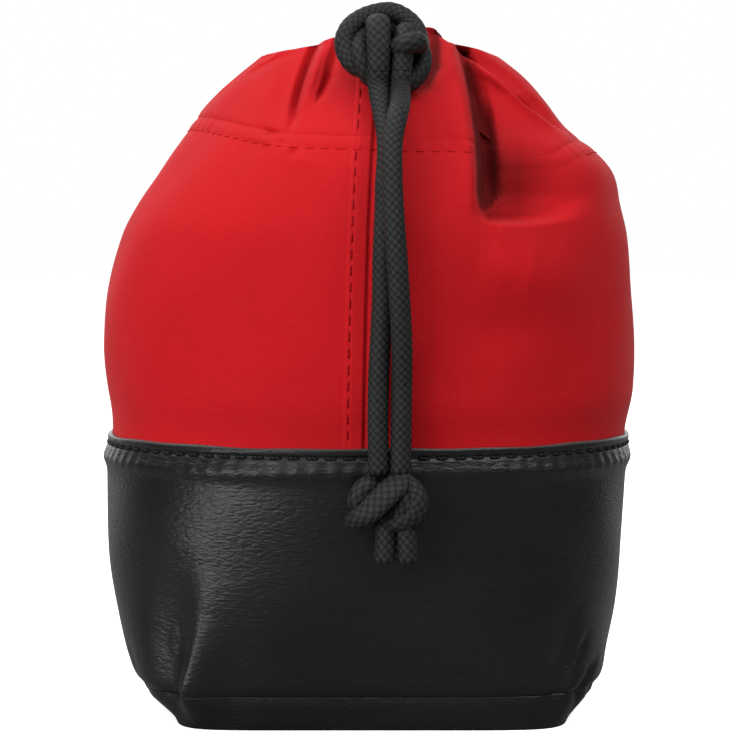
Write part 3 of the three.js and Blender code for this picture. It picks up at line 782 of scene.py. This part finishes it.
leatherSet = {
    "low": 6.4, "top": canvasSet["leatherTop"], "thick": 1.5, "stitch": 51.3, "pitch": 3.4, "columns": 560,
    "mapRadius": 50.0, "edge": 0.45,  # the raw edge's rounding
}
leatherFolds = [
    # the ridge at the left front corner, and the hollows beside it
    crease([(-37.5, 4), (-37, 9), (-35.5, 15), (-34, 22), (-32, 30)], [-3.6, -3.0, -1.8, -0.7, 0],
           [2.0, 2.0, 2.2, 2.8, 3.6], [3.4, 3.6, 4.0, 5.0, 6.0]),
    crease([(-42.5, 4), (-42.5, 9), (-42, 15), (-41, 24), (-39.5, 34)], [0.8, 1.3, 1.5, 1.0, 0],
           [3.0, 3.6, 4.4, 5.4, 6.0], [1.5, 1.8, 2.2, 2.8, 3.6]),
    crease([(-55, 5), (-56, 10), (-58, 16)], [0.4, 0.5, 0], 2.0, 1.4),
    # the creases at the right front corner
    crease([(40, 4), (41.5, 9), (43, 15), (44, 24)], [0.6, 1.3, 1.1, 0], [1.6, 2.2, 2.8, 3.4],
           [1.0, 1.4, 1.8, 2.2]),
    crease([(46, 4.5), (48, 7.5), (51, 10.5), (55, 12.5)], [0.9, 1.2, 0.9, 0], 0.9, 1.1),
    crease([(51, 4), (54, 6.5), (58, 8.5)], [0.7, 0.9, 0], 0.8, 1.0),
    crease([(44, 12), (47, 14.5), (50, 18)], [0.1, 0.6, 0], 0.8, 1.0),
    # the back corners
    crease([(138, 5), (137, 12), (139, 20), (142, 27)], [0.9, 1.3, 0.8, 0], 1.2, 2.0),
    crease([(-139, 5), (-138, 12), (-136, 21), (-133, 28)], [1.0, 1.2, 0.8, 0], 2.0, 1.1),
]
leatherWaves = [(0.20, 4, 0.013, 1.0), (0.15, 7, -0.02, 0.3), (0.10, 11, 0.034, 2.2)]


def leatherRadius(azimuth, z):
    # A groove at the stitches, a puff with puckers under them, a groove at the bottom seam, and
    # creases at the corners.
    u = azimuth * leatherSet["mapRadius"]
    groove = 0.34 * np.exp(-((z - leatherSet["stitch"]) / 0.42) ** 2)
    puff = 0.7 * np.exp(-((z - 48.4) / 1.6) ** 2)
    pucker = 0.10 * np.sin(turn * u / leatherSet["pitch"]) * np.exp(-((z - 49.4) / 1.5) ** 2)
    aboveSeam = z - leatherSet["low"]
    seam = 0.4 * np.exp(-(aboveSeam / 0.8) ** 2) - 0.10 * np.exp(-((aboveSeam - 2.2) / 1.6) ** 2)
    waves = ripples(azimuth, z, leatherWaves) * smoothstep(z, 6, 20) * (1 - smoothstep(z, 42, 52))
    return faceRadius(azimuth, z) - groove + puff + pucker - seam + waves - radialDepth(azimuth, z, leatherFolds)[0]


leatherAzimuths = columnsAround(leatherSet["columns"], [(-38, 9, 0.8), (48, 9, 1.0), (138, 9, 0.5), (-138, 9, 0.5)])
leatherU = np.append(leatherAzimuths, leatherAzimuths[0] + turn) * leatherSet["mapRadius"]


def leatherWallPart():
    a, low, top, edge = leatherAzimuths, leatherSet["low"] + 0.02, leatherSet["top"], leatherSet["edge"]
    rows = [(onFace(a, leatherRadius(a, z), z), 0, z)
            for z in spread(low, top - edge, 104, [(51, 2.5, 2.0), (7, 2, 1.2)])]
    radius = leatherRadius(a, top)
    wavy = 0.12 * np.sin(7 * a + 1) + 0.08 * np.sin(17 * a)
    # the rows round the raw top edge and its top face carry the painted highlight
    for t in np.linspace(0, 1, 7)[1:]:
        bend = t * math.pi / 2
        z = top - edge + edge * math.sin(bend) + wavy * t
        rows.append((onFace(a, radius - edge * (1 - math.cos(bend)), z), 0.55 * t, top + t))
    rows.append((onFace(a, radius - leatherSet["thick"] + 0.2, top + wavy), 0.4, 55))
    for z in np.linspace(top - 0.3, low, 14):
        rows.append((onFace(a, faceRadius(a, z) - leatherSet["thick"], z), 0, 108 - z))
    return ringsPart(rows, "edgeHighlight", leatherU)


def leatherBottomPart():
    # The tray: from its middle out under the floor face, up round the edge to the seam, and back.
    a, seam = leatherAzimuths, leatherSet["low"]
    folds = radialDepth(a, seam, leatherFolds)[0]
    rows = [(onFace(a, faceRadius(a, 0) * share, 0.35 * (1 - share**4)), 0, 50 * share)
            for share in (0.02, 0.2, 0.4, 0.6, 0.8, 0.93)]
    for share in (0, 0.02, 0.06, 0.12, 0.2, 0.3, 0.42, 0.55, 0.7, 0.82, 0.91, 0.96, 0.997):
        z = seam * share
        radius = faceRadius(a, z) - 0.4 * math.exp(-((z - seam) / 0.8) ** 2)
        rows.append((onFace(a, radius - folds * share, z), 0, 50 + z))
    rows.append((onFace(a, faceRadius(a, seam) - leatherSet["thick"] - 0.3, seam), 0, 57))
    for share in (0.94, 0.6, 0.02):
        rows.append((onFace(a, (faceRadius(a, 2.5) - 1.6) * share, 1.7), 0, 57 + 50 * (1 - share)))
    return ringsPart(rows, "edgeHighlight", leatherU, closed=False)


makePiece("leatherWall", [leatherWallPart()], blackLeather, replaces=["leather_wall"])
makePiece("leatherBottom", [leatherBottomPart()], blackLeather, replaces=["leather_bottom"])

# Stitches: each comes out of the cloth, lies on it, and goes back in

stitchSet = {
    "rings": 7, "sides": 8,
    "edge": {"pitch": leatherSet["pitch"], "length": 2.5, "thread": 0.3, "proud": 0.12},
    "hem": {"pitch": 3.0, "length": 2.0, "thread": 0.16, "proud": -0.06, "lostPast": 1.8},
    "seam": {"pitch": 3.0, "length": 2.2, "thread": 0.2, "proud": 0.0},
}


def stitches(azimuths, heights, look, surfaceAt, upright=False):
    # Ring centres along each stitch follow the surface, sunk at both ends; the rings are circles
    # about them, set by the outward and the sideways direction.
    n, rings, sides = len(azimuths), stitchSet["rings"], stitchSet["sides"]
    t = np.linspace(-0.5, 0.5, rings)
    length, sunk = look["length"], np.abs(t) > 0.45
    reach = np.where(sunk, -0.45, look["proud"]) + 0.12 * np.cos(math.pi * t)
    radius = np.hypot(*np.moveaxis(surfaceAt(azimuths, heights)[:, :2], -1, 0))
    a = azimuths[:, None] + (0 * t if upright else length * t / radius[:, None])
    z = heights[:, None] + (length * t if upright else 0 * t)
    surface = surfaceAt(a, z)
    outward = np.cross(surfaceAt(a + 0.01, z) - surface, surfaceAt(a, z + 0.3) - surface)
    outward /= np.linalg.norm(outward, axis=2)[..., None]
    centre = surface + reach[:, None] * outward
    tangent = np.gradient(centre, axis=1)
    tangent /= np.linalg.norm(tangent, axis=2)[..., None]
    outward = outward - (outward * tangent).sum(2)[..., None] * tangent
    outward /= np.linalg.norm(outward, axis=2)[..., None]
    sideways = np.cross(tangent, outward)
    angle = turn * np.arange(sides)[:, None] / sides
    size = look["thread"] * np.where(sunk, 0.6, 1.0)[:, None, None]
    points = centre[:, :, None] + size * (
        np.cos(angle) * outward[:, :, None] - np.sin(angle) * sideways[:, :, None])
    each = np.arange(n)[:, None] * rings * sides
    quads = gridQuads(rings, sides)[None] + each[..., None]
    j = np.arange(sides)
    k = (j + 1) % sides
    pole, last = n * rings * sides + np.arange(n)[:, None] + 0 * j, each + (rings - 1) * sides
    triangles = np.stack([np.stack([pole, each + k, each + j], -1), np.stack([pole + n, last + j, last + k], -1)])
    i, j = np.divmod(np.arange((rings - 1) * sides), sides)
    corners = np.stack([np.stack([(j + dj) / sides, (i + di) / rings * length], -1) for di, dj in gridCorners], 1)
    return {"points": np.concatenate([points.reshape(-1, 3), centre[:, 0], centre[:, -1]]),
            "quads": quads.reshape(-1, 4), "triangles": triangles.reshape(-1, 3),
            "quadUv": np.tile(corners, (n, 1, 1)), "triangleUv": np.zeros((2 * n * sides, 3, 2)), "values": {}}


def spacedRound(surfaceAt, heightAt, pitch):
    # Azimuths at even distances along a row round the pouch.
    a = np.linspace(-math.pi, math.pi, 3001)
    p = surfaceAt(a, heightAt(a))
    s = np.concatenate([[0], np.cumsum(np.linalg.norm(np.diff(p, axis=0), axis=1))])
    count = int(s[-1] / pitch)
    return np.interp((np.arange(count) + 0.5) / count * s[-1], s, a)


def canvasPoint(azimuth, z):
    return clothAt(azimuth, z)[0]


def channelPoint(azimuth, z):
    return clothAt(azimuth, liftedRim(azimuth, z))[0]


def leatherPoint(azimuth, z):
    return onFace(azimuth, leatherRadius(azimuth, z), z)


def leatherStitchAt(azimuth):
    return leatherSet["stitch"] + 0 * azimuth


def hemStitchAt(azimuth):
    return seamHeight(azimuth) - canvasSet["stitchBelow"]


edgeAzimuths = spacedRound(leatherPoint, leatherStitchAt, stitchSet["edge"]["pitch"])
edgeStitches = stitches(edgeAzimuths, leatherStitchAt(edgeAzimuths), stitchSet["edge"], leatherPoint)
makePiece("edgeStitches", [edgeStitches], blackThread, replaces=["leather_edge_thread"])

hemAzimuths = spacedRound(canvasPoint, hemStitchAt, stitchSet["hem"]["pitch"])
hemAzimuths = hemAzimuths[clothAt(hemAzimuths, hemStitchAt(hemAzimuths))[1] < stitchSet["hem"]["lostPast"]]
hemStitches = stitches(hemAzimuths, hemStitchAt(hemAzimuths), stitchSet["hem"], canvasPoint)
makePiece("hemStitches", [hemStitches], hemThread, replaces=["hem_thread"])

seamStitches = []
for low, high, pointAt in ((55.5, 108.0, canvasPoint), (112.5, 128.0, channelPoint)):
    heights = np.arange(low, high, stitchSet["seam"]["pitch"])
    seamStitches.append(stitches(sideSeamAt(heights), heights, stitchSet["seam"], pointAt, upright=True))
makePiece("seamStitches", seamStitches, redThread, replaces=["seam_thread"])

# Inside: padding, lining and board

insideSet = {
    "columns": 160, "mapRadius": 45.0, "rowLength": 3.0,
    "wallPadding": {"low": 5.0, "high": 93.0, "behind": 1.9, "thick": 3.0, "drawn": 0.0, "swell": 0.0},
    "liningWall": {"low": 9.2, "high": 108.0, "behind": 5.8, "thick": 0.8, "drawn": 7.0, "swell": 0.25},
    "bottomPadding": {"low": 3.7, "thick": 4.0, "inset": 7.0, "crown": 0.0},
    "liningBottom": {"low": 8.0, "thick": 0.8, "inset": 8.4, "crown": 0.15},
}
insideAzimuths = np.arange(insideSet["columns"]) / insideSet["columns"] * turn
insideU = np.append(insideAzimuths, turn) * insideSet["mapRadius"]


def insidePart(rows, closed):
    return gridPart(np.stack(rows), insideU, np.arange(len(rows)) * insideSet["rowLength"], None, closed, not closed)


def hiddenAt(azimuth, z, inset):
    # The inner layers follow the canvas's creases above the padding.
    z = z + 0 * azimuth
    radius = faceRadius(azimuth, z) - inset
    follow = 0.9 * smoothstep(z, 90, 95)
    radius = radius - follow * np.minimum(radialDepth(azimuth, z, sideCreases)[0], 7)
    points = onFace(azimuth, radius, z)
    points[:, 1] += follow * creaseDepth(points[:, 0], z, frontCreases)[0] * smoothstep(np.cos(azimuth), 0.15, 0.45)
    return points


def hiddenWall(low, high, behind, thick, drawn, swell):
    # drawn is how much further in it is gathered than the canvas, and swell is how uneven it is.
    a = insideAzimuths
    heights = np.linspace(low, high, 40)

    def rowAt(z, inset):
        return hiddenAt(a, z, canvasInset(z) + behind + drawn * smoothstep(z, 91, 101) + inset)

    outer = [rowAt(z, 0) for z in heights]
    lip = rowAt(high, thick / 2) + np.array([0, 0, min(0.4, thick / 3)])
    inner = [rowAt(z, thick + swell * np.sin(9 * a + 0.21 * z) * math.sin(0.19 * z)) for z in heights[::-1]]
    return insidePart([*outer, lip, *inner], True)


def softDisc(low, thick, inset, crown):
    # A sheet with rounded edges, cut to the outline at its height.
    a = insideAzimuths
    edge = faceRadius(a, low) - inset
    rows = [onFace(a, edge * s, low) for s in (0.03, 0.4, 0.8, 0.97)]
    rows += [onFace(a, edge, low + thick * t) for t in (0.2, 0.5, 0.8)]
    rows += [onFace(a, edge * s, low + thick + crown * (1 - s * s)) for s in (0.985, 0.9, 0.7, 0.4, 0.03)]
    return insidePart(rows, False)


wallPadding = makePiece("wallPadding", [hiddenWall(**insideSet["wallPadding"])], greyFoam,
                        replaces=["wall_padding"])
liningWall = makePiece("liningWall", [hiddenWall(**insideSet["liningWall"])], softLining,
                       replaces=["lining_wall"])
bottomPadding = makePiece("bottomPadding", [softDisc(**insideSet["bottomPadding"])], greyFoam,
                          replaces=["bottom_padding"])
liningBottom = makePiece("liningBottom", [softDisc(**insideSet["liningBottom"])], softLining,
                         replaces=["lining_bottom"])
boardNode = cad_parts["bottom_board"]
boardNode.data.materials.clear()
boardNode.data.materials.append(stiffBoard)

# Cords: the frame's routes, led back over the mouth knot

leftTail = [
    (1.9, -37.3, 119.3), (2.7, -40.9, 114.6), (3.4, -44.9, 110.6), (3.5, -48.0, 106.2), (3.2, -50.4, 101.5),
    (3.1, -51.8, 96.8), (2.9, -53.0, 92.2), (2.7, -53.7, 87.5), (2.6, -54.2, 80.0), (2.2, -54.4, 72.0),
    (1.9, -54.4, 65.0), (1.8, -54.4, 58.0), (1.9, -54.4, 49.6),
]
rightTail = [
    (6.0, -37.3, 119.3), (5.9, -43.0, 116.1), (5.3, -48.1, 113.5), (4.4, -51.7, 108.8), (4.3, -54.5, 103.5),
    (4.5, -56.1, 98.0), (4.8, -57.1, 93.0), (5.2, -57.5, 87.8), (5.7, -57.3, 80.0), (6.1, -56.2, 72.0),
    (6.1, -54.8, 65.0), (6.0, -54.4, 58.0), (5.9, -54.4, 49.6),
]
channelPlan = np.array([
    (-0.4, -27.4), (-0.4, -25.8), (-0.4, -18.0), (-1.3, -13.5), (-3.8, -10.0), (-6.8, -7.4), (-9.5, 0.0), (-6.2, 8.1),
    (2.0, 11.5), (10.2, 8.1), (13.5, 0.0), (10.9, -7.1), (7.8, -9.9), (5.7, -13.0), (5.2, -18.0), (5.2, -25.8),
    (5.2, -27.4)])
channelAzimuths = np.arctan2(channelPlan[:, 0] - canvasSet["mouthMiddle"], -channelPlan[:, 1])
channelRoute = np.column_stack([channelPlan, 126.3 + 0.5 * rimRise(channelAzimuths)])  # it sinks with the rim
leftCrest = [(1.9, -25.5, 127.6), (1.9, -28.6, 129.9), (1.9, -32.2, 131.7), (1.9, -35.2, 130.9), (2.0, -36.9, 127.6),
             (2.0, -37.4, 123.4)]
rightCrest = [(6.4, -26.0, 127.0), (6.8, -29.4, 129.2), (7.0, -32.9, 129.9), (6.8, -35.3, 128.3), (6.5, -36.4, 125.4),
              (6.2, -36.8, 122.3)]
tailSplit = 122.4  # height where the knot's strands go over into the tails

knotStrands = [
    [(4.6, -31.8, 126.3), (5.2, -35.2, 126.7), (7.0, -37.6, 127.3), (9.0, -36.2, 127.9), (9.6, -32.9, 127.8),
     (8.9, -30.2, 130.6), (7.1, -28.8, 132.7), (4.4, -28.0, 134.0), (1.4, -28.2, 133.7), (-1.3, -29.4, 132.6),
     (-3.4, -31.2, 130.8), (-4.4, -32.4, 128.3), (-4.0, -33.4, 125.9), (-2.6, -34.0, 123.9), (-0.4, -33.8, 122.9),
     (2.4, -32.8, 122.8)],
    [(0.4, -30.4, 129.6), (-1.2, -32.2, 128.2), (-1.4, -34.6, 126.2), (-0.9, -35.4, 124.0), (0.2, -34.9, 121.9),
     (2.2, -33.9, 120.6), (5.0, -33.2, 120.0), (8.2, -32.6, 120.9), (10.0, -31.0, 123.8), (9.6, -29.0, 127.0),
     (6.4, -27.6, 128.6)],
    [(-0.6, -28.2, 128.8), (1.0, -29.6, 127.0), (3.6, -30.4, 126.0), (6.4, -30.2, 125.2)],
    [(-2.2, -28.4, 130.6), (1.2, -27.4, 131.2), (4.6, -27.3, 130.9), (7.6, -28.2, 129.4)],
    [(7.4, -31.0, 124.6), (4.4, -31.4, 123.2), (1.2, -31.2, 124.2)],
]


def splitTail(crest, tail):
    # One line over the knot and down, cut where it passes the given height in front.
    line = lineThrough(crest + tail)
    cut = int(np.argmax((line[:, 2] < tailSplit) & (line[:, 1] < -35)))
    return line[:cut + 1], line[cut:]


leftOver, leftLine = splitTail(leftCrest, leftTail)
rightOver, rightLine = splitTail(rightCrest, rightTail)


def tailParts(over, line, wide=None):
    # The whole strand's rings are made once, so that the braid runs on past the cut.
    whole = np.vstack([over, line[1:]])
    part = cordPart(whole, wide)
    rows, sides, cut = len(whole) + 2 * len(cordEndRings), cordLook["sides"], len(cordEndRings) + len(over) - 1
    grid = part["points"][:rows * sides].reshape(rows, sides, 3)
    lift = part["values"]["braid"][:rows * sides].reshape(rows, sides)
    along = np.arange(rows) * cordLook["ringStep"]
    return [gridPart(grid[part], cordU, along[part], {"braid": lift[part]}, poles=True)
            for part in (slice(cut + 1), slice(cut, None))]


leftUpper, leftLower = tailParts(leftOver, leftLine, ([0, 6, 14, 24], [1.12, 1.24, 1.2, 1.0]))
rightUpper, rightLower = tailParts(rightOver, rightLine)
knotParts = [cordPart(lineThrough(points)) for points in knotStrands] + [leftUpper, rightUpper]
makePiece("mouthKnot", knotParts, blackCord, "knot", ["mouth_knot"])
makePiece("channelCord", [cordPart(lineThrough(channelRoute))], blackCord, "pouch", ["channel_cord"])
tailLeft = makePiece("tailLeft", [leftLower], blackCord, None, ["cord_tail_left"])
tailRight = makePiece("tailRight", [rightLower], blackCord, None, ["cord_tail_right"])
for tail in (tailLeft, tailRight):
    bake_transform(tail)

tailKnotStrands = [
    ([(6.4, -54.0, 48.0), (4.9, -56.4, 46.8), (2.6, -57.6, 44.7), (0.2, -57.5, 42.4), (-1.8, -56.2, 40.8),
      (-2.4, -54.2, 40.2)], ([0, 3, 9, 12], [1.0, 1.38, 1.38, 1.0])),
    ([(0.6, -53.6, 47.0), (-0.9, -54.9, 46.0), (-1.9, -55.0, 44.0), (-1.0, -53.8, 42.6)], None),
    ([(4.6, -54.0, 47.4), (7.4, -55.0, 46.6), (8.9, -55.7, 44.2), (8.2, -55.9, 41.6), (5.8, -55.6, 40.4),
      (3.4, -54.6, 40.6)], ([0, 4, 9, 12], [1.0, 1.15, 1.15, 1.0])),
    ([(6.0, -54.6, 46.0), (6.6, -55.9, 43.8), (5.2, -55.6, 41.4)], None),
]
tailKnot = makePiece("tailKnot", [cordPart(lineThrough(points), wide) for points, wide in tailKnotStrands],
                     blackCord, "tails", ["tail_knot"])
endLines = {
    "cordEndLeft": [(3.2, -54.2, 40.2), (3.2, -54.6, 38.0), (3.1, -54.8, 35.6), (3.0, -54.8, 33.6)],
    "cordEndRight": [(6.8, -54.2, 40.2), (7.0, -54.6, 38.0), (7.1, -54.8, 35.6), (7.2, -54.8, 33.6)],
}
cordEnds = [
    makePiece(name, [cordPart(lineThrough(points))], blackCord, "tails", [node])
    for (name, points), node in zip(endLines.items(), ("cord_end_left", "cord_end_right"))
]


def lengthOf(line):
    return float(np.linalg.norm(np.diff(line, axis=0), axis=1).sum()) * mm


for tail, line, going in ((tailLeft, leftLine, [tailKnot, cordEnds[0]]), (tailRight, rightLine, [cordEnds[1]])):
    line[0] * mm
    (line[::4] * mm).tolist() + [(line[-1] * mm).tolist()]
print("cords made", round(lengthOf(leftLine), 4), round(lengthOf(rightLine), 4))

# Floor and light

floorSet = {
    "half": 6.0, "pale": (0.86, 0.86, 0.86, 1), "paler": (0.88, 0.88, 0.88, 1), "bounce": (0.30, 0.30, 0.30, 1),
}
h = floorSet["half"]
floorMesh = bpy.data.meshes.new("floor")
floorMesh.from_pydata([(-h, -h, 0), (h, -h, 0), (h, h, 0), (-h, h, 0)], [], [(0, 1, 2, 3)])
paleFloor = Finish("paleFloor", Roughness=0.9, Specular_IOR_Level=0.1, Emission_Strength=0.75)
seenDirectly = paleFloor.node("LightPath")
floorNoise = paleFloor.noise(paleFloor.objectPlace(), 3.0)
floorColour = paleFloor.mixed(floorNoise, floorSet["pale"], floorSet["paler"])
paleFloor.feed(paleFloor.shader.inputs["Emission Color"], paleFloor.mixed(seenDirectly, (0, 0, 0, 1), (1, 1, 1, 1)))
floorMesh.materials.append(paleFloor.finish(paleFloor.mixed(seenDirectly, floorSet["bounce"], floorColour)))
addObject("floor", floorMesh)

lights = {
    "key": {"place": (-0.74, -0.94, 0.40), "size": 0.5, "watts": 5.8},
    "edge": {"place": (-0.86, -0.66, 0.03), "size": 0.2, "watts": 3.2},
    "fill": {"place": (-0.20, -0.80, 1.00), "size": 0.8, "watts": 4.0},
    "side": {"place": (0.66, -0.45, 1.10), "size": 0.6, "watts": 8.0},
    "top": {"place": (-0.45, 0.25, 0.95), "size": 0.7, "watts": 5.0},
}
lightAim = (0, 0, 0.06)
for name, light in lights.items():
    data = bpy.data.lights.new(name, "AREA")
    data.energy = light["watts"]
    data.size = light["size"]
    x, y, z = np.array(lightAim) - light["place"]
    addObject(name, data, light["place"], (math.atan2(math.hypot(x, y), -z), 0, math.atan2(y, x) - math.pi / 2))

# The room is bright behind the pouch and overhead and dim behind the camera; seen directly it is white.
room = {"front": 0.10, "back": 2.1, "from": 0.62, "to": 0.95, "overhead": 0.25}

world = bpy.data.worlds.new("studio")
bpy.context.scene.world = world
studio = Nodes(world)
toward = studio.parts(studio.node("TexCoord"))
ahead = studio.node("MapRange", {"interpolation_type": "SMOOTHSTEP"},
                    {0: toward[1], 1: room["from"], 2: room["to"], 3: room["front"], 4: room["back"]})
overhead = studio.node("MapRange", {}, {0: toward[2], 1: 0.0, 2: 1.0, 3: 0.0, 4: room["overhead"]})
lit = studio.node("Background", {}, {"Color": (1, 1, 1, 1), "Strength": ahead + overhead})
white = studio.node("Background", {}, {"Color": (1, 1, 1, 1), "Strength": 1.0})
worldOut = next(n for n in studio.tree.nodes if n.type == "OUTPUT_WORLD")
seenRoom = studio.node("MixShader", {}, {0: studio.node("LightPath"), 1: lit, 2: white})
studio.feed(worldOut.inputs["Surface"], seenRoom)
bpy.context.scene.view_settings.view_transform = "Standard"
print("stage and light made")
